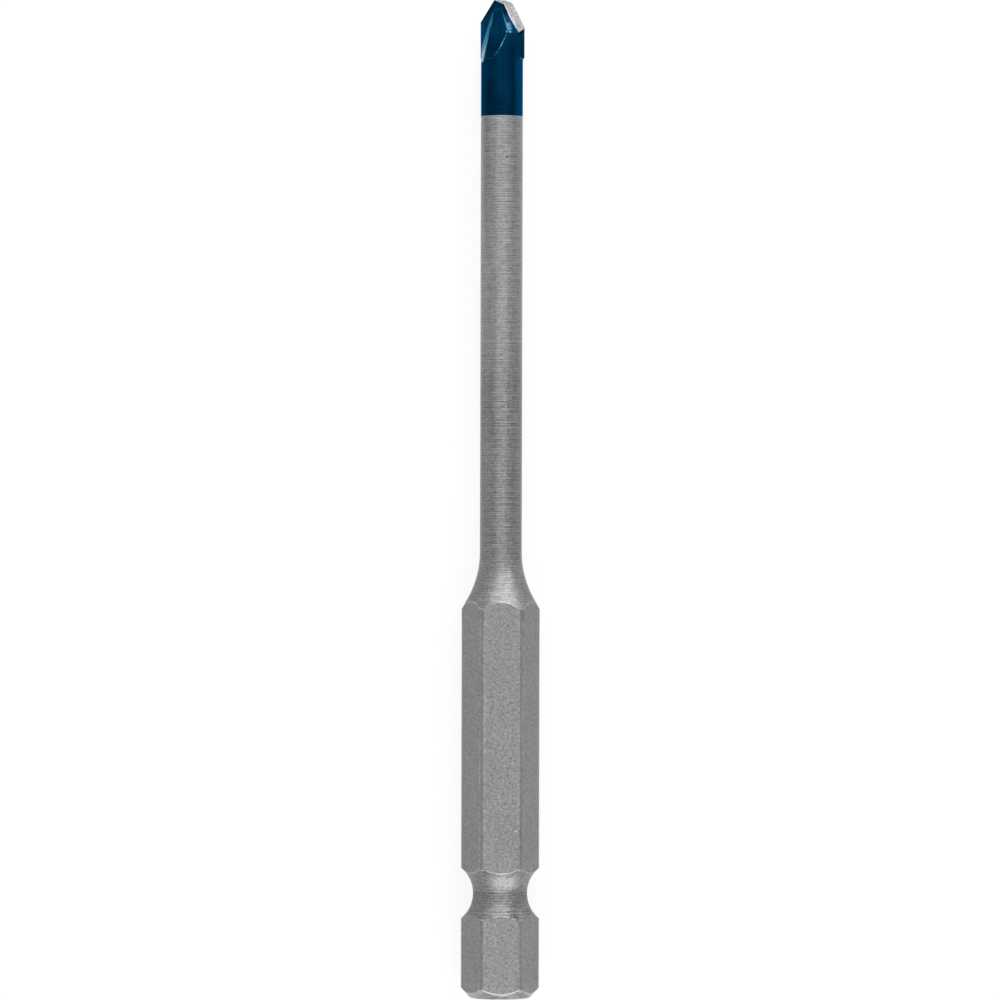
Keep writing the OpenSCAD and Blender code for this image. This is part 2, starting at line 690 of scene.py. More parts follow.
@dataclass(frozen=True)
class SteelFinish:
    """Bare steel: turned rings on round stretches and a blasted grain on the flats.

    Attributes:
        colour: Colour of the steel.
        bright: Colour of burrs and edges bright with wear, also used for their painted highlight.
        roughness: Roughness of the turned steel.
        ring_pitch: Distance between the turned rings, in millimetres.
        ring_depth: How strongly the rings change the tone.
        rim: Tint of the sheen at grazing angles.
        blemishes: Single pits, specks and smears on the upper side.
    """

    colour: Colour = srgb(131, 131, 131)
    bright: Colour = srgb(218, 218, 218)
    roughness: float = 0.3
    ring_pitch: float = 0.24
    ring_depth: float = 0.22
    rim: Colour = WHITE
    blemishes: tuple[Blemish, ...] = (
        Blemish(at=(1.29, 15.17), reach=(0.09, 0.07), tone=0.8),
        Blemish(at=(-0.89, 26.8), reach=(0.2, 3.4), tone=-0.06),
        Blemish(at=(-1.98, 20.3), reach=(0.05, 1.5), tone=0.15),
        Blemish(at=(0.42, 75.75), reach=(0.11, 0.1), tone=-0.42),
        Blemish(at=(0.47, 75.55), reach=(0.15, 0.07), tone=0.4),
        Blemish(at=(0.24, 75.92), reach=(0.09, 0.1), tone=0.3),
        Blemish(at=(0.58, 66.35), reach=(0.09, 0.07), tone=-0.35),
        Blemish(at=(-0.91, 63.96), reach=(0.14, 0.05), tone=0.25),
    )

    def paint(self, spot: Spot) -> Surface:
        """Builds the finish.

        Args:
            spot: The point of the surface.

        Returns:
            The finish at that point.
        """
        part = Stretches.of(spot)
        rings = self._rings(spot, part)
        grain = spot.graph.uneven(4.4)
        tone = (
            1.0
            + rings
            + self._texture(spot, part, grain)
            + self._hexagon(spot, part)
            + self._groove(spot, part)
            + self._shaft(spot, part)
            + self._blemishes(spot)
        )
        body = spot.graph.shade(self.colour, tone)
        colour = spot.graph.tint(self._burr_wear_and_highlight(spot, part), body, self.bright)
        roughness = (
            self.roughness
            + part.flats * 0.1
            + part.shoulder * 0.14
            + part.upper_wall * 0.12
            + part.lower_wall * 0.2
            + grain * 0.2
        )
        relief = rings * 5.0 + grain * (2.0 + part.flats * 2.0)
        return Surface(colour, roughness, relief)

    def _rings(self, spot: Spot, part: Stretches) -> Signal:
        """The marks of turning: a feed wave, sharp lines and broken dashes.

        Args:
            spot: The point of the surface.
            part: Masks of the stretches.

        Returns:
            The rings, about 0 on average.
        """
        graph, height = spot.graph, spot.height
        feed = height + graph.uneven(0.8, 1.0) * 0.05
        wave = (feed * (2 * math.pi / self.ring_pitch)).sine()
        lines = graph.uneven_along(height, 5.5)
        dashes = graph.uneven(5.0, stretch=(0.2, 1.0, 0.2))
        patches = graph.noise(1.2, stretch=(1.0, 0.8, 1.0)).rise(0.32, 0.62)
        beads = graph.noise(2.6, stretch=(1.0, 0.45, 1.0)).rise(0.35, 0.6)
        depth = self.ring_depth - part.shoulder * 0.02
        even = (wave * depth + lines) * (0.2 + 0.8 * patches) * (0.5 + 0.5 * beads)
        milled = part.flats.larger(part.corners).larger(part.facets)
        smooth = part.upper_wall * 0.8 + part.lower_wall * 0.15
        # Ring contrast is painted stronger across the lit middle of the bit.
        lit = 0.6 + 0.4 * spot.aside.band(-0.9, 1.1, 0.5)
        return (even + dashes * 0.8) * (1 - milled) * (1 - smooth) * lit

    def _texture(self, spot: Spot, part: Stretches, grain: Signal) -> Signal:
        """Grain, pits, specks, drawn streaks and the scrapes of the end chamfer, which also gets a
        painted highlight.

        Args:
            spot: The point of the surface.
            part: Masks of the stretches.
            grain: The fine grain.

        Returns:
            What they add to the tone.
        """
        graph = spot.graph
        drift = graph.uneven(0.35)
        drawn = graph.uneven(2.0, stretch=(1.0, 0.07, 1.0))
        pits = graph.noise(5.3, 1.0).rise(0.62, 0.74)
        specks = graph.noise(6.7, 1.0).rise(0.64, 0.76)
        scrapes = graph.uneven(3.6, stretch=(0.25, 1.0, 0.4))
        coarse = part.flats * 0.3 + part.lower_wall * 0.3 + part.upper_wall * 0.7
        return (
            drift * 0.1
            + drawn * (0.35 - part.flats * 0.2)
            + grain * (0.75 + coarse)
            + (specks * 0.35 - pits * 0.25) * (0.35 + part.flats * 0.65)
            + (specks - pits) * part.shoulder * 0.2
            # The chamfer's scrapes sit on a painted highlight that lightens the whole chamfer.
            + (scrapes * 2.2 + 0.31) * part.chamfer
        )

    def _hexagon(self, spot: Spot, part: Stretches) -> Signal:
        """How light the hexagon's flats, facets and corners are, partly in painted light and shade.

        Args:
            spot: The point of the surface.
            part: Masks of the stretches.

        Returns:
            What they add to the tone.
        """
        aside, height = spot.aside, spot.height
        middle, chamfer = spot.sizes.groove_distance, spot.sizes.end_chamfer_height
        dots = spot.graph.noise(3.2, 1.0).rise(0.45, 0.62)
        # Painted shade on the corners: a dark line along the left one, and darker towards the right.
        painted_corner_shade_line = aside.band(-1.86, -1.68, 0.05)
        # Speckled painted highlight along the front flat's left border, and on the facets.
        painted_border_highlight = aside.band(-1.5, -1.36, 0.05) * (dots * 0.25 - 0.02)
        past_groove = height.rise(middle + 1.61, middle + 3.61)
        end = height.rise(chamfer + 0.83, chamfer + 0.13)
        # Painted shade on the front flat, a little more past the groove.
        front = part.front * (0.07 + past_groove * 0.03)
        return (
            part.facets * (dots * 0.2 - 0.03)
            + part.corners * (0.03 - aside.rise(-1.5, 1.5) * 0.12 - painted_corner_shade_line * 0.14)
            + part.flats * (painted_border_highlight + end * 0.06 - front - 0.05)
        )

    def _groove(self, spot: Spot, part: Stretches) -> Signal:
        """How light the ball groove's walls and neck are, in painted light and shade.

        Args:
            spot: The point of the surface.
            part: Masks of the stretches.

        Returns:
            What they add to the tone.
        """
        aside, height, middle = spot.aside, spot.height, spot.sizes.groove_distance
        # Painted highlight on the upper wall's right, painted shade on its left and on the lower
        # wall's right.
        painted_highlight_right = aside.band(0.7, 1.7, 0.35)
        painted_shade_left = aside.rise(-0.9, -1.7)
        painted_shade_right = aside.band(0.7, 1.5, 0.35) * height.rise(middle - 0.49, middle - 1.09)
        neck = height.band(middle - 0.39, middle + 0.71, 0.3)
        # Painted shade over the lower wall and on the neck's sides.
        return (
            part.upper_wall * (painted_highlight_right * 0.16 - painted_shade_left * 0.1)
            - part.lower_wall * (0.21 + painted_shade_right * 0.36)
            - neck * aside.absolute().rise(0.6, 1.2) * 0.1
        )

    def _shaft(self, spot: Spot, part: Stretches) -> Signal:
        """How light the shaft and its shoulder are, in painted light and shade, with a painted
        highlight line beside the lacquer.

        Args:
            spot: The point of the surface.
            part: Masks of the stretches.

        Returns:
            What they add to the tone.
        """
        aside, height = spot.aside, spot.height
        hexagon, border = spot.sizes.hex_length, spot.sizes.lacquer_border
        # Painted shade that narrows the lower shaft's highlight.
        painted_flank_shade = (aside - 0.1).absolute().rise(0.25, 0.55)
        painted_flank_shade = painted_flank_shade * height.rise(hexagon + 3.57, hexagon + 4.77)
        painted_shade_upper_right = height.rise(hexagon + 18.97, hexagon + 22.97) * aside.band(0.75, 1.5, 0.2)
        painted_shade_upper_left = height.rise(border - 13.48, border - 5.48) * aside.band(-1.65, -1.1, 0.2)
        # Painted highlight on the shoulder's left, painted shade over the lower shaft and on the
        # upper shaft's sides.
        return (
            part.shoulder * aside.band(-1.7, -0.8, 0.3) * 0.07
            - part.lower_shaft * (0.14 + painted_flank_shade * 0.06)
            - painted_shade_upper_right * 0.07
            - painted_shade_upper_left * 0.18
            + height.rise(border - 0.14, border - 0.04) * 0.3
        )

    def _blemishes(self, spot: Spot) -> Signal:
        """What the single marks of the upper side add to the tone."""
        shares = [mark.share(spot.aside, spot.height) * mark.tone for mark in self.blemishes]
        return sum(shares[1:], shares[0]) * spot.above.rise(0.0, 0.5)

    def _burr_wear_and_highlight(self, spot: Spot, part: Stretches) -> Signal:
        """Where the flats' burred ends are bright with wear and with a painted highlight.

        Args:
            spot: The point of the surface.
            part: Masks of the stretches.

        Returns:
            Share of the bright colour, from 0 to 1.
        """
        sizes, height = spot.sizes, spot.height
        middle, half = sizes.groove_distance, sizes.groove_half_width
        chamfer = sizes.end_chamfer_height
        broken = spot.graph.noise(2.2).rise(0.32, 0.62)
        sound = height.band(middle, middle + half + 0.5, 0.1) + height.rise(chamfer + 0.3, chamfer)
        rough = (0.25 + 0.6 * broken) * (1 - part.lower_wall * 0.7)
        share = sound * (0.6 + 0.4 * broken) + (1 - sound) * rough
        # The burrs' painted highlight is dimmed on the shoulder and strongest along the middle of
        # the bit as seen from above.
        dull = part.shoulder * part.front * (0.95 - spot.aside.band(-0.3, 0.9, 0.5) * 0.15)
        return spot.graph.mark(Mark.EDGE) * share * (1 - dull) * (0.3 + 0.7 * part.front)


@dataclass(frozen=True)
class LacquerFinish:
    """Blue lacquer, clear enough for the metal's gloss to show through it.

    Attributes:
        colour: Colour of a full coat.
        thin: Colour where the coat is thin, on edges and fresh facets, also used for painted
            highlights.
        almost_bare_and_highlight: Colour where it is almost gone, also the white of the brightest
            painted highlights.
        bare: Colour of the carbide where the coat is chipped off along the long lip.
        roughness: Roughness of the coat.
        rim: Tint of the sheen at grazing angles.
        nicks: Small spots where the coat is thin.
    """

    colour: Colour = srgb(0, 34, 57)
    thin: Colour = srgb(98, 185, 226)
    almost_bare_and_highlight: Colour = srgb(190, 203, 212)
    bare: Colour = srgb(182, 196, 207)
    roughness: float = 0.3
    rim: Colour = (0.2, 0.5, 0.65)
    nicks: tuple[Blemish, ...] = (
        Blemish(at=(0.67, 3.0), reach=(0.12, 0.08), tone=0.46),
        Blemish(at=(0.36, 2.97), reach=(0.11, 0.1), tone=0.27),
        Blemish(at=(1.65, 5.35), reach=(0.13, 0.08), tone=0.1),
    )

    def paint(self, spot: Spot) -> Surface:
        """Builds the finish.

        Args:
            spot: The point of the surface.

        Returns:
            The finish at that point.
        """
        graph, depth, border = spot.graph, spot.depth, spot.sizes.lacquer_length
        streaks = graph.uneven(2.4, stretch=(1.0, 0.06, 1.0))
        fine = graph.uneven(4.6)
        rings = graph.uneven_along(depth, 5.5) * depth.rise(border - 2.2, border - 0.4)
        tone = self._tone(spot, streaks * 1.3 + fine * 0.6 + rings * 0.9)
        # The thin coat's colour carries the painted highlights on the gash walls, heels and edges,
        # as well as the real nicks.
        thin_coat_and_highlight = self._gash_highlight(spot) * (1.0 + streaks * 0.5)
        for share in (self._heel_highlight(spot), self._thin_edge_and_highlight(spot), *self._nicked(spot)):
            thin_coat_and_highlight = thin_coat_and_highlight.larger(share)
        thin_coat_and_highlight = thin_coat_and_highlight.smaller(1.0)
        # The heels' painted highlight turns whiter where it is strong.
        heel_highlight_white = graph.mark(Mark.HEEL) * thin_coat_and_highlight.rise(0.1, 0.27) * 0.3
        thin = graph.tint(thin_coat_and_highlight.rise(0.28, 0.7).larger(heel_highlight_white), self.thin, self.almost_bare_and_highlight)
        coat = graph.tint(thin_coat_and_highlight, graph.shade(self.colour, tone), thin)
        colour = graph.tint(self._chipped(spot), coat, self.bare)
        relief = fine * 1.5 + streaks * 1.5 + rings * 3.0
        # Where the painted highlights and thin coat lie, the metal's gloss gives way so that their
        # light colour shows.
        metallic = 1 - thin_coat_and_highlight.rise(0.02, 0.2) * 0.85
        return Surface(colour, self.roughness + fine * 0.15, relief, metallic)

    def _tone(self, spot: Spot, texture: Signal) -> Signal:
        """How light the full coat is, with a painted sheen on its sides; it is darkest in a band
        beside the lips.

        Args:
            spot: The point of the surface.
            texture: Streaks and fine grain of the coat.

        Returns:
            Factor on the coat's colour.
        """
        graph, aside, depth = spot.graph, spot.aside, spot.depth
        half = spot.sizes.plate_thickness / 2
        lips = spot.below(LONG_FLANK).smaller(spot.below(SHORT_FLANK))
        darkened_by_lips = lips.rise(0.22, 0.06) * spot.off_plate.rise(half + 0.03, half + 0.01)
        tone = (
            1.0
            + texture
            + graph.uneven(0.7) * 0.8
            + graph.uneven(1.0, 1.0, (1.0, 0.04, 1.0)) * 1.2
            # Painted sheen: the right side is lighter, most of all behind the plate, and so is the
            # left rim.
            + aside.rise(1.0, 1.75) * (0.5 + depth.rise(4.8, 6.0) * 1.9)
            + aside.rise(-1.45, -1.75) * 1.1
            + depth.rise(4.4, 2.6) * 0.75
            - depth.rise(6.0, 9.5) * 0.15
        )
        return tone * (1 - darkened_by_lips * 0.75)

    def _gash_highlight(self, spot: Spot) -> Signal:
        """Painted highlight streak along the gash walls and the creases beside them, drawn as thin
        coat.

        Args:
            spot: The point of the surface.

        Returns:
            Share of the thin coat's colour, from 0 to 1.
        """
        depth, half = spot.depth, spot.sizes.plate_thickness / 2
        beside_plate = spot.off_plate.rise(half - 0.03, half - 0.005)
        wall = spot.graph.mark(Mark.GASH)
        for half_turn in (False, True):
            below = spot.below(GASH, half_turn)
            crease = below.rise(-0.16, 0.02) * below.rise(0.09, 0.03)
            wall = wall.larger(crease * depth.band(1.0, 4.6, 0.35) * beside_plate)
        cut = depth.rise(1.6, 3.0) * 0.15 + depth.rise(3.4, 4.8) * 0.14
        kept = (spot.under_cheek + 0.1 - cut).rise(-0.02, 0.06)
        return wall * kept * ((depth - 0.3) * 0.096).larger(0.0)

    def _heel_highlight(self, spot: Spot) -> Signal:
        """Painted highlight on the heels, drawn as thin coat: a patch at the foot and a feather
        along the cheek.

        Args:
            spot: The point of the surface.

        Returns:
            Share of the thin coat's colour, from 0 to 1.
        """
        depth, under_cheek = spot.depth, spot.under_cheek
        uneven = spot.graph.uneven(2.4, 3.0)
        patch = (under_cheek + uneven * 0.5).rise(0.62, 0.26)
        patch = patch * (depth + uneven * 0.9).band(2.1, 2.85, 0.12) * 0.25
        feather = (under_cheek + uneven * 0.3).rise(0.14, 0.02)
        feather = feather * depth.band(1.3, 2.15, 0.1) * depth.rise(1.0, 2.3) * 0.2
        veil = depth.band(1.3, 2.3, 0.3) * 0.04
        return spot.graph.mark(Mark.HEEL) * (patch.larger(feather) + veil)

    def _thin_edge_and_highlight(self, spot: Spot) -> Signal:
        """Where the coat is thin on the broken edges, with painted highlights on the jaws' tops and
        where a cheek runs out.

        Args:
            spot: The point of the surface.

        Returns:
            Share of the thin coat's colour, from 0 to 1.
        """
        depth, side = spot.depth, spot.side
        broken = 0.25 + 0.75 * spot.graph.noise(4.4).rise(0.42, 0.58)
        # Painted highlight where the cheek runs out, broken up by noise.
        run_out = depth.band(3.6, 4.7, 0.6) * side.band(-1.0, 0.65, 0.1) * 0.3
        edge = spot.graph.mark(Mark.EDGE) * (0.04 + broken * run_out)
        jaw_top = depth.band(0.8, 0.93, 0.05) * side.band(-0.75, 0.0, 0.1) * 0.05
        return edge.larger(jaw_top)

    def _nicked(self, spot: Spot) -> list[Signal]:
        """Share of the thin coat's colour in each of the small nicks."""
        return [nick.share(spot.side, spot.depth) * nick.tone for nick in self.nicks]

    def _chipped(self, spot: Spot) -> Signal:
        """Where the coat is chipped off beside the long lip's ground flank.

        Args:
            spot: The point of the surface.

        Returns:
            1 where bare carbide shows, and 0 elsewhere.
        """
        width = spot.depth.rise(0.9, 1.5) * spot.depth.rise(2.6, 1.7) * 0.08
        ragged = width * (1.0 + spot.graph.uneven(6.0) * 0.48)
        return (ragged - spot.below(LONG_FLANK)).rise(-0.01, 0.01) * width.rise(0.0, 0.01)


@dataclass(frozen=True)
class GroundCarbide:
    """Bare carbide, ground with a fine wheel.

    Attributes:
        colour: Colour of the ground face.
        bright: Colour of the painted highlight along its rim.
        roughness: Its roughness.
        rim: Tint of the sheen at grazing angles.
    """

    colour: Colour = srgb(156, 153, 154)
    bright: Colour = srgb(200, 207, 214)
    roughness: float = 0.45
    rim: Colour = WHITE

    def paint(self, spot: Spot) -> Surface:
        """Builds the finish.

        Args:
            spot: The point of the surface.

        Returns:
            The finish at that point.
        """
        half = spot.sizes.plate_thickness / 2
        scratches = spot.graph.uneven(6.0, stretch=(1.0, 0.6, 1.0))
        grain = spot.graph.uneven(4.6)
        body = spot.graph.shade(self.colour, 1.0 + scratches * 1.5 + grain * 1.3)
        # Painted highlight along the ground faces' rim beside the plate's faces.
        rim = spot.off_plate.rise(half - 0.1, half - 0.03)
        colour = spot.graph.tint(rim, body, self.bright)
        return Surface(colour, self.roughness + grain * 0.2, scratches * 1.2 + grain)


@dataclass(frozen=True)
class MetalDress:
    """Turns a finish into a material.

    Attributes:
        name: Name of the material.
        finish: The finish.
    """

    name: str
    finish: SteelFinish | LacquerFinish | GroundCarbide

    def material(self, sizes: BitSizes) -> bpy.types.Material:
        """Makes the material.

        Args:
            sizes: Sizes of the bit.

        Returns:
            The material.
        """
        made = bpy.data.materials.new(self.name)
        graph = Graph(made)
        surface = self.finish.paint(Spot.on(graph, sizes))
        bump = graph.node(
            "ShaderNodeBump", inputs={"Height": surface.height, "Distance": MM * MM}
        )
        shader = graph.node(
            "ShaderNodeBsdfPrincipled",
            inputs={
                "Base Color": surface.colour,
                "Roughness": surface.roughness,
                "Metallic": surface.metallic,
                "Specular Tint": (*self.finish.rim, 1.0),
                "Normal": bump,
            },
        )
        graph.node("ShaderNodeOutputMaterial", inputs={"Surface": shader})
        return made


class Workshop:
    """The operations that shape a piece: drawing an outline, turning, grinding and slotting."""

    # Angle in degrees from which an edge is shaded as a sharp one.
    SHARP_FROM = 12.0
    # Cosine from which two directions count as the same.
    PARALLEL = 0.9999

    def __init__(self, sizes: BitSizes) -> None:
        """Starts an empty piece.

        Args:
            sizes: Sizes of the bit.
        """
        self.sizes = sizes
        self.mesh: BMesh = bmesh.new()
        self._marks = {mark: self.mesh.faces.layers.float.new(mark.value) for mark in Mark}
        self._pen: BMVert | None = None

    def put_mark(self, face: BMFace, mark: Mark) -> None:
        """Gives a face an attribute."""
        face[self._marks[mark]] = 1.0

    def has_mark(self, face: BMFace, mark: Mark) -> bool:
        """Whether a face has an attribute."""
        return face[self._marks[mark]] > 0.5

    def start(self, radius: float, height: float) -> None:
        """Sets the pen down on the outline's first point."""
        self._pen = self.mesh.verts.new((radius, 0.0, height))

    def line(self, radius: float, height: float) -> None:
        """Draws a straight stretch of the outline.

        Args:
            radius: Distance of its end from the axis.
            height: Height of its end.
        """
        made = bmesh.ops.extrude_vert_indiv(self.mesh, verts=[self._pen])
        self._pen = made["verts"][0]
        self._pen.co = (radius, 0.0, height)

    def arc(self, radius: float, height: float, degrees: float, steps: int) -> None:
        """Draws a round stretch of the outline.

        Args:
            radius: Distance of the arc's centre from the axis.
            height: Height of the arc's centre.
            degrees: Angle of the arc, about +Y.
            steps: Number of its steps.
        """
        made = bmesh.ops.spin(
            self.mesh,
            geom=[self._pen],
            cent=(radius, 0.0, height),
            axis=(0.0, 1.0, 0.0),
            angle=math.radians(degrees),
            steps=steps,
        )
        self._pen = made["geom_last"][0]

    def turn(self) -> None:
        """Turns the outline round the axis into a closed skin."""
        bm = self.mesh
        bmesh.ops.spin(
            bm,
            geom=bm.verts[:] + bm.edges[:],
            cent=(0.0, 0.0, 0.0),
            axis=UP,
            angle=2 * math.pi,
            steps=self.sizes.segments,
            use_merge=True,
        )
        bmesh.ops.remove_doubles(bm, verts=bm.verts, dist=TOUCH)
        bmesh.ops.recalc_face_normals(bm, faces=bm.faces)

    def _cut(self, base: Vector, facing: Vector, clear_outer: bool = False) -> list[BMEdge]:
        """Cuts the skin along a plane.

        Args:
            base: A point on the plane.
            facing: Outward direction of the plane.
            clear_outer: Whether all that lies beyond the plane is taken off.

        Returns:
            The edges of the cut.
        """
        bm = self.mesh
        cut = bmesh.ops.bisect_plane(
            bm,
            geom=bm.verts[:] + bm.edges[:] + bm.faces[:],
            dist=TOUCH,
            plane_co=base,
            plane_no=facing,
            clear_outer=clear_outer,
        )
        return [part for part in cut["geom_cut"] if isinstance(part, BMEdge)]

    def _close(self, rim: list[BMEdge]) -> list[BMFace]:
        """Closes loops of edges with faces."""
        return bmesh.ops.edgeloop_fill(self.mesh, edges=rim)["faces"] if rim else []

    def grind(
        self, base: Vector, facing: Vector, mark: Mark | None = None, material: int = 0
    ) -> None:
        """Grinds off all that lies beyond a plane and closes the skin.

        Args:
            base: A point on the plane.
            facing: Outward direction of the plane.
            mark: Face attribute that the ground faces get.
            material: Material index of the ground faces.
        """
        for face in self._close(self._cut(base, facing, clear_outer=True)):
            face.material_index = material
            if mark is not None:
                self.put_mark(face, mark)

    def grind_nose(self, planes: Iterable[GroundPlane], both_sides: bool) -> None:
        """Grinds planes on the nose; bare ones get the second material.

        Args:
            planes: Planes to grind.
            both_sides: Whether each is ground again half a turn round.
        """
        for plane in planes:
            for half_turn in (False, True) if both_sides else (False,):
                facing = plane.facing(self.sizes.plate_turn, half_turn)
                base = self.sizes.point + facing * plane.offset
                self.grind(base, facing, plane.mark, int(plane.bare))

    def grind_sides(self, width: float) -> None:
        """Grinds the piece to a slab of the given width, in the direction of the plate."""
        for side in (-1, 1):
            self.grind(self.sizes.across * (side * width / 2), self.sizes.across * side)

    def slot(self, width: float, foot: float) -> None:
        """Cuts a slot across the nose, open at its top.

        Args:
            width: Width of the slot.
            foot: Height of its floor.
        """
        bm = self.mesh
        across = self.sizes.across
        walls = [across * (side * width / 2) for side in (-1, 1)]

        def on_wall(vert: BMVert, wall: Vector) -> bool:
            """Whether a corner lies on a wall of the slot."""
            return abs((vert.co - wall).dot(across)) < SLACK

        def on_floor(vert: BMVert) -> bool:
            """Whether a corner lies on the slot's floor."""
            return abs(vert.co.z - foot) < SLACK

        for wall in walls:
            self._cut(wall, across)
        self._cut(UP * foot, UP)
        inside = [
            face
            for face in bm.faces
            if abs(face.calc_center_median().dot(across)) < width / 2 - TOUCH
            and face.calc_center_median().z > foot + TOUCH
        ]
        bmesh.ops.delete(bm, geom=inside, context="FACES")
        rim = [edge for edge in bm.edges if edge.is_boundary]
        rim_verts = dict.fromkeys(vert for edge in rim for vert in edge.verts)
        sills = []
        for wall in walls:
            corners = [vert for vert in rim_verts if on_wall(vert, wall) and on_floor(vert)]
            sills.append(bmesh.ops.contextual_create(bm, geom=corners)["edges"][0])
        for wall, sill in zip(walls, sills):
            side = [edge for edge in rim if all(on_wall(vert, wall) for vert in edge.verts)]
            self._close(side + [sill])
        bed = [edge for edge in rim if all(on_floor(vert) for vert in edge.verts)]
        self._close(bed + sills)

    def score(self, base: Vector, facing: Vector) -> list[BMFace]:
        """Cuts the skin along a plane, takes nothing off and returns the faces beyond it."""
        self._cut(base, facing)
        faces = self.mesh.faces
        return [face for face in faces if (face.calc_center_median() - base).dot(facing) > TOUCH]

    def soften(self, offset: float, sharpest: float, steps: int, above: float) -> None:
        """Breaks the sharp edges with a small bevel and marks its faces; the slot stays sharp.

        Args:
            offset: Width that the bevel takes off each side.
            sharpest: Angle in degrees above which an edge is broken.
            steps: Number of steps across the bevel.
            above: Height from which edges are broken.
        """
        bm = self.mesh
        bmesh.ops.remove_doubles(bm, verts=bm.verts, dist=SLACK)
        bmesh.ops.recalc_face_normals(bm, faces=bm.faces)
        limit = math.radians(sharpest)
        across = self.sizes.across
        sharp = [
            edge
            for edge in bm.edges
            if edge.calc_face_angle(0.0) > limit
            and min(vert.co.z for vert in edge.verts) > above
            and all(abs(face.normal.dot(across)) <= self.PARALLEL for face in edge.link_faces)
        ]
        made = bmesh.ops.bevel(
            bm,
            geom=sharp,
            offset=offset,
            offset_type="OFFSET",
            segments=steps,
            profile=0.5,
            affect="EDGES",
            clamp_overlap=False,
            material=-1,
        )
        for face in made["faces"]:
            self.put_mark(face, Mark.EDGE)

    def finish(self, name: str) -> bpy.types.Object:
        """Lays the piece down and makes an object of it.

        Args:
            name: Name of the object.

        Returns:
            The object, at the origin of the part's frame.
        """
        bm = self.mesh
        limit = math.radians(self.SHARP_FROM)
        for face in bm.faces:
            face.smooth = True
        for edge in bm.edges:
            strips = {self.has_mark(face, Mark.EDGE) for face in edge.link_faces}
            edge.smooth = len(strips) < 2 and edge.calc_face_angle(0.0) < limit
        bmesh.ops.transform(bm, matrix=self.sizes.laid_down(), verts=bm.verts)
        return mesh_object(name, bm)


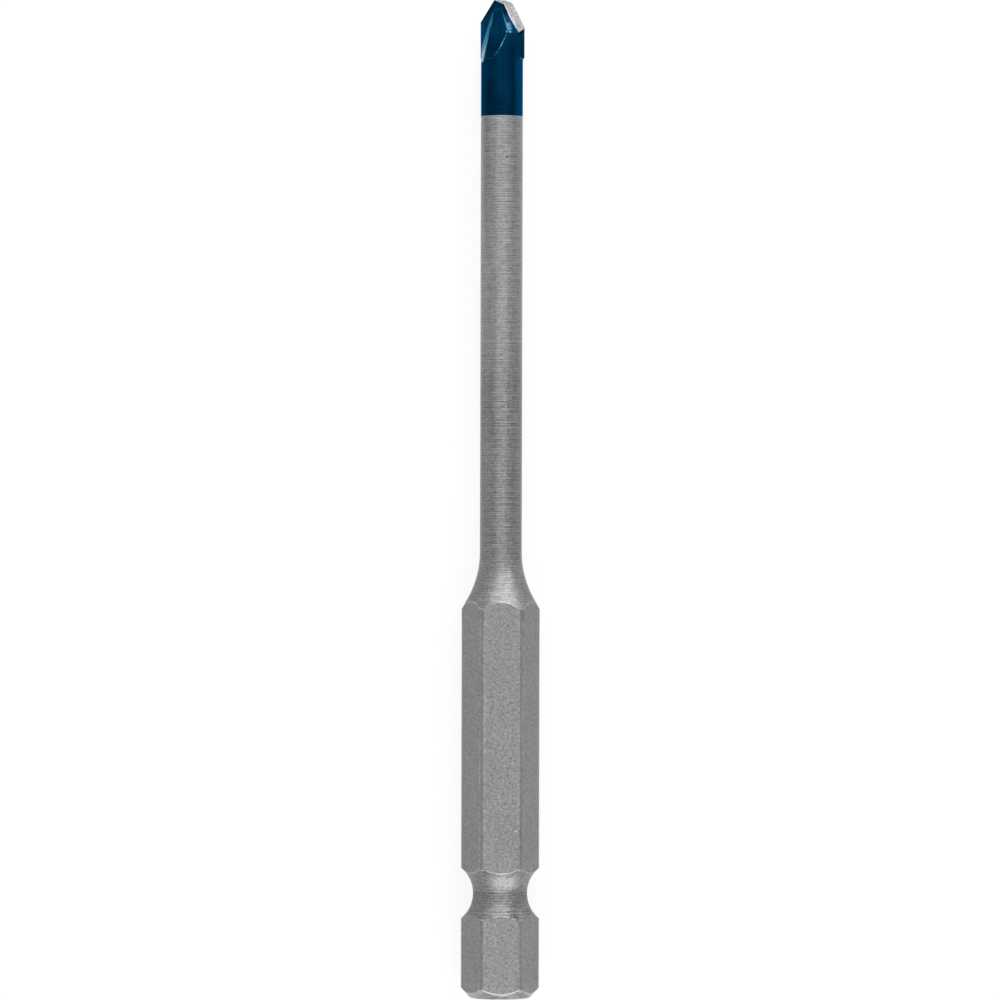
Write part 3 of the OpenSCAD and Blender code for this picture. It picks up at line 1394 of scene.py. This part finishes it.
@dataclass
class TurnedBar:
    """The bar that the shank is made from: turned, and milled to a hexagon at its drive end.

    Attributes:
        sizes: Sizes of the bit.
        groove_steps: Number of steps along the ball groove.
        hollow_steps: Number of steps along the shoulder's hollow.
        hex_sides: Number of flats.
        corner_facet: Angle from each corner to the facets that round it, in degrees.
        corner_break: Depth of those facets, in millimetres.
        burr_depth: Depth below the flats to which their ends are burred, in millimetres.
        end_burr_depth: The same at the drive end.
        least_slope: Share of its direction that lies along the axis, from which a face is sloped.
    """

    sizes: BitSizes
    groove_steps: int = 32
    hollow_steps: int = 20
    hex_sides: int = 6
    corner_facet: float = 16.0
    corner_break: float = 0.03
    burr_depth: float = 0.08
    end_burr_depth: float = 0.12
    least_slope: float = 0.1

    def make(self, shop: Workshop) -> None:
        """Turns the bar and mills its flats.

        Args:
            shop: Workshop that holds the piece.
        """
        self._turn(shop)
        flat = self.sizes.axis_height
        step = 360 / self.hex_sides
        turns = [90 + side * step for side in range(self.hex_sides)]
        corner = math.degrees(math.acos(flat / self.sizes.corner_radius))
        facet = step / 2 - self.corner_facet
        reach = self.sizes.corner_radius * math.cos(math.radians(corner - facet))
        for turn in turns:
            facing = turned_direction(turn)
            shop.grind(facing * flat, facing, Mark.FLAT)
            for lean in (-facet, facet):
                leaning = turned_direction(turn + lean)
                shop.grind(leaning * (reach - self.corner_break), leaning, Mark.FACET)
        for turn in turns:
            facing = turned_direction(turn)
            self._burr(shop, facing, flat - self.burr_depth, self.sizes.overall_length)
            self._burr(shop, facing, flat - self.end_burr_depth, self.sizes.end_chamfer_height)
        self._mark_corners(shop)

    def _turn(self, shop: Workshop) -> None:
        """Draws the outline from the end face to the nose and turns it.

        Args:
            shop: Workshop that holds the piece.
        """
        sizes = self.sizes
        angle = math.radians(sizes.shoulder_angle)
        foot_radius = sizes.shaft_radius + sizes.shoulder_radius * (1 - math.cos(angle))
        foot = sizes.hex_length + (sizes.corner_radius - foot_radius) / math.tan(angle)
        hollow_top = foot + sizes.shoulder_radius * math.sin(angle)
        groove_angle = 2 * math.degrees(math.asin(sizes.groove_half_width / sizes.groove_radius))
        shop.start(0.0, 0.0)
        shop.line(sizes.corner_radius - sizes.end_chamfer_width, 0.0)
        shop.line(sizes.corner_radius, sizes.end_chamfer_height)
        shop.line(sizes.corner_radius, sizes.groove_distance - sizes.groove_half_width)
        shop.arc(sizes.groove_centre_radius, sizes.groove_distance, groove_angle, self.groove_steps)
        shop.line(sizes.corner_radius, sizes.hex_length)
        shop.line(foot_radius, foot)
        hollow_centre = sizes.shaft_radius + sizes.shoulder_radius
        shop.arc(hollow_centre, hollow_top, sizes.shoulder_angle, self.hollow_steps)
        shop.line(sizes.shaft_radius, sizes.nose_top)
        shop.line(0.0, sizes.nose_top)
        shop.turn()

    def _sloped(self, face: BMFace) -> bool:
        """Whether a face is sloped against the axis, as turned stretches at the flats' ends are."""
        return abs(face.normal.z) > self.least_slope

    def _burr(self, shop: Workshop, facing: Vector, reach: float, top: float) -> None:
        """Marks the burr where the turned stretches run out into a flat.

        Args:
            shop: Workshop that holds the piece.
            facing: Outward direction of the flat.
            reach: Distance from the axis at which the burr starts.
            top: Height below which faces are marked.
        """
        for face in shop.score(facing * reach, facing):
            if self._sloped(face) and face.calc_center_median().z < top:
                shop.put_mark(face, Mark.EDGE)

    def _mark_corners(self, shop: Workshop) -> None:
        """Marks the rounded corners, and the burr where the turned stretches run out into them.

        Args:
            shop: Workshop that holds the piece.
        """
        sizes = self.sizes
        for height, burr in ((sizes.end_chamfer_height, -1), (sizes.hex_length, 1)):
            shop.score(UP * (height + burr * self.burr_depth), UP)
        for face in shop.mesh.faces:
            if face.calc_center_median().xy.length < sizes.corner_radius - self.burr_depth:
                continue
            if self._sloped(face):
                shop.put_mark(face, Mark.EDGE)
            elif not (shop.has_mark(face, Mark.FLAT) or shop.has_mark(face, Mark.FACET)):
                shop.put_mark(face, Mark.CORNER)


@dataclass
class Piece:
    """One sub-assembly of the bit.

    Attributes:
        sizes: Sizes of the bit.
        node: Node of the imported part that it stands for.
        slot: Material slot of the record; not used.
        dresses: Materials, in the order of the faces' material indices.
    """

    sizes: BitSizes
    node: str
    slot: Slot
    dresses: tuple[MetalDress, ...]

    def shape(self, shop: Workshop) -> None:
        """Shapes the piece; each piece has its own way."""
        raise NotImplementedError

    def build(self) -> bpy.types.Object:
        """Shapes, dresses and places the piece.

        Returns:
            The finished object.
        """
        shop = Workshop(self.sizes)
        self.shape(shop)
        made = shop.finish(f"{self.node}_finished")
        self.dress(made)
        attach(made, "root")
        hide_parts(self.node)
        return made

    def dress(self, made: bpy.types.Object) -> None:
        """Gives the piece's object its materials."""
        for dress in self.dresses:
            made.data.materials.append(dress.material(self.sizes))


@dataclass
class Shank(Piece):
    """The steel shank, slotted and ground at its nose.

    Attributes:
        edge_break: Width of the broken edges, in millimetres.
        edge_angle: Angle above which an edge is broken, in degrees.
        edge_steps: Number of steps across a broken edge.
        lacquered: Material index of the lacquered nose.
    """

    node: str = "shank"
    slot: Slot = Slot.STEEL
    dresses: tuple[MetalDress, ...] = (
        MetalDress("bare_steel", SteelFinish()),
        MetalDress("lacquered_steel", LacquerFinish()),
    )
    edge_break: float = 0.06
    edge_angle: float = 14.0
    edge_steps: int = 2
    lacquered: int = 1

    def shape(self, shop: Workshop) -> None:
        """Turns the bar, grinds its jaws, cuts its slot and dips its nose in lacquer.

        Args:
            shop: Workshop that holds the piece.
        """
        sizes = self.sizes
        TurnedBar(sizes).make(shop)
        shop.grind_nose(JAW_PLANES, both_sides=True)
        shop.slot(sizes.slot_width, sizes.slot_foot)
        for face in shop.score(UP * sizes.lacquer_border, UP):
            face.material_index = self.lacquered
        shop.soften(self.edge_break, self.edge_angle, self.edge_steps, sizes.lacquer_border)


@dataclass
class CarbidePlate(Piece):
    """The carbide plate with its two unequal lips."""

    node: str = "carbide_plate"
    slot: Slot = Slot.CARBIDE
    dresses: tuple[MetalDress, ...] = (
        MetalDress("lacquered_carbide", LacquerFinish()),
        MetalDress("ground_carbide", GroundCarbide()),
    )

    def shape(self, shop: Workshop) -> None:
        """Grinds the plate from a round blank.

        Args:
            shop: Workshop that holds the piece.
        """
        sizes = self.sizes
        radius = sizes.plate_diameter / 2
        shop.start(0.0, sizes.plate_foot)
        shop.line(radius - sizes.plate_foot_bevel, sizes.plate_foot)
        shop.line(radius, sizes.plate_foot + sizes.plate_foot_bevel)
        shop.line(radius, sizes.overall_length)
        shop.line(0.0, sizes.overall_length)
        shop.turn()
        shift = turned_direction(sizes.plate_turn) * sizes.plate_shift
        bmesh.ops.translate(shop.mesh, vec=shift, verts=shop.mesh.verts)
        shop.grind_sides(sizes.plate_thickness)
        shop.grind_nose((SIDE_RELIEF,), both_sides=True)
        shop.grind_nose(LIP_PLANES, both_sides=False)


@dataclass
class BrazeFilm(Piece):
    """The film of filler metal round the plate, lacquered where it shows."""

    node: str = "braze_film"
    slot: Slot = Slot.BRAZE
    dresses: tuple[MetalDress, ...] = (MetalDress("lacquered_braze", LacquerFinish()),)

    def shape(self, shop: Workshop) -> None:
        """Cuts the film out of the bar's nose and makes room for the plate.

        Args:
            shop: Workshop that holds the piece.
        """
        sizes = self.sizes
        TurnedBar(sizes).make(shop)
        shop.grind_sides(sizes.slot_width)
        shop.grind(UP * sizes.slot_foot, -UP)
        shop.grind_nose(JAW_PLANES, both_sides=True)
        shop.slot(sizes.plate_thickness, sizes.plate_foot)


@dataclass(frozen=True)
class SoftBox:
    """A soft lamp that faces the bit.

    Attributes:
        name: Name of the lamp.
        along: Angle from straight above towards +Y, in degrees.
        aside: Angle from straight above towards +X, in degrees.
        distance: Distance from the bit, in metres.
        width: Width across the bit, in metres.
        length: Length along the bit, in metres.
        level: Brightness of its face, where white is 1.
    """

    name: str
    along: float
    aside: float
    distance: float
    width: float
    length: float
    level: float

    def place(self) -> None:
        """Hangs the lamp."""
        data = bpy.data.lights.new(self.name, "AREA")
        data.shape = "RECTANGLE"
        data.size = self.width
        data.size_y = self.length
        data.energy = self.level * math.pi * self.width * self.length
        lean = (math.tan(math.radians(angle)) for angle in (self.aside, self.along))
        towards = Vector((*lean, 1.0)).normalized()
        length = towards.cross(Vector((1.0, 0.0, 0.0))).normalized()
        basis = Matrix((length.cross(towards), length, towards)).transposed().to_4x4()
        lamp = add_object(self.name, data)
        lamp.matrix_world = Matrix.Translation(towards * self.distance) @ basis


@dataclass
class Studio:
    """Pale floor, white surroundings, soft lamps and the camera above the bit.

    Attributes:
        sizes: Sizes of the bit.
        floor_size: Half of the floor's width, in metres.
        floor_bounce: Share of light that the floor gives back to the bit.
        floor_diffuse: Share of light that it gives back to the camera.
        floor_glow: The rest of its white.
        world_level: Level of the surroundings.
        lamps: Soft lamps.
        camera_distance: Distance of the camera from the bit's axis, in millimetres.
        clip: Nearest and farthest distance that the camera sees, in metres.
        sensor: Width of the camera's sensor, in millimetres.
        pixels: Size of the picture.
        pixels_per_mm: Scale of the picture on the axis.
        camera_turn: Turn of the camera about the bit's axis towards -X, in degrees.
        lean: Clockwise lean of the bit in the picture, in degrees.
        aim: Point of the axis' plane in the middle of the picture, along X and Y, in millimetres.
    """

    sizes: BitSizes
    floor_size: float = 1.5
    floor_bounce: float = 0.8
    floor_diffuse: float = 0.1
    floor_glow: float = 0.86
    world_level: float = 1.0
    lamps: tuple[SoftBox, ...] = (
        SoftBox("lamp_above", 0.0, -1.0, distance=0.9, width=1.0, length=0.65, level=0.46),
        SoftBox("lamp_point_side", 54.0, 18.0, distance=1.2, width=1.55, length=1.15, level=2.6),
        SoftBox("lamp_drive_side", -50.0, 15.0, distance=1.2, width=1.6, length=1.05, level=1.9),
    )
    camera_distance: float = 520.0
    clip: tuple[float, float] = (0.01, 20.0)
    sensor: float = 36.0
    pixels: int = 1000
    pixels_per_mm: float = 11.077
    camera_turn: float = 2.0
    lean: float = 0.14
    aim: tuple[float, float] = (-0.086, -0.13)

    def build(self) -> None:
        """Builds the studio."""
        self._floor()
        self._surroundings()
        for lamp in self.lamps:
            lamp.place()
        self._camera()
        bpy.context.scene.view_settings.view_transform = "Standard"

    def _floor(self) -> None:
        """Lays a white floor that keeps a faint shadow."""
        bm = bmesh.new()
        bmesh.ops.create_grid(bm, x_segments=1, y_segments=1, size=self.floor_size)
        floor = mesh_object("floor", bm)
        white = bpy.data.materials.new("floor_white")
        graph = Graph(white)
        bounce = graph.node("ShaderNodeBsdfDiffuse", inputs={"Color": grey(self.floor_bounce)})
        pale = graph.node("ShaderNodeBsdfDiffuse", inputs={"Color": grey(self.floor_diffuse)})
        glow = graph.node("ShaderNodeEmission", inputs={"Strength": self.floor_glow})
        shown = graph.node("ShaderNodeAddShader", inputs={0: pale, 1: glow})
        path = graph.node("ShaderNodeLightPath", output="Is Camera Ray")
        seen = path.larger(path.output("Is Glossy Ray")).larger(path.output("Is Transmission Ray"))
        mixed = graph.node("ShaderNodeMixShader", inputs={0: seen, 1: bounce, 2: shown})
        graph.node("ShaderNodeOutputMaterial", inputs={"Surface": mixed})
        floor.data.materials.append(white)

    def _surroundings(self) -> None:
        """Makes the surroundings white."""
        world = bpy.data.worlds.new("white_tent")
        bpy.context.scene.world = world
        graph = Graph(world)
        sky = graph.node(
            "ShaderNodeBackground",
            inputs={"Color": grey(1.0), "Strength": self.world_level},
        )
        graph.node("ShaderNodeOutputWorld", inputs={"Surface": sky})

    def _camera(self) -> None:
        """Hangs the camera above the bit, at the angle of the photograph."""
        turn = math.radians(self.camera_turn)
        back = Vector((-math.sin(turn), 0.0, math.cos(turn)))
        right = Vector((math.cos(turn), 0.0, math.sin(turn)))
        ahead = Vector((0.0, 1.0, 0.0))
        target = UP * self.sizes.axis_height + right * self.aim[0] + ahead * self.aim[1]
        data = bpy.data.cameras.new("camera")
        data.sensor_width = self.sensor
        data.lens = self.sensor * self.pixels_per_mm * self.camera_distance / self.pixels
        data.clip_start, data.clip_end = self.clip
        camera = add_object("camera", data)
        basis = Matrix((right, ahead, back)).transposed().to_4x4()
        roll = Matrix.Rotation(math.radians(self.lean), 4, "Z")
        place = Matrix.Translation((target + back * self.camera_distance) * MM)
        camera.matrix_world = place @ basis @ roll
        bpy.context.scene.camera = camera


def main() -> None:
    """Builds the bit and its studio."""
    logging.basicConfig(level=logging.INFO, format="%(name)s: %(message)s")
    sizes = BitSizes()
    for piece in (Shank(sizes), CarbidePlate(sizes), BrazeFilm(sizes)):
        made = piece.build()
        LOG.info("%s: %d faces", made.name, len(made.data.polygons))
    Studio(sizes).build()
    LOG.info("studio built")


if __name__ == "__main__":
    main()
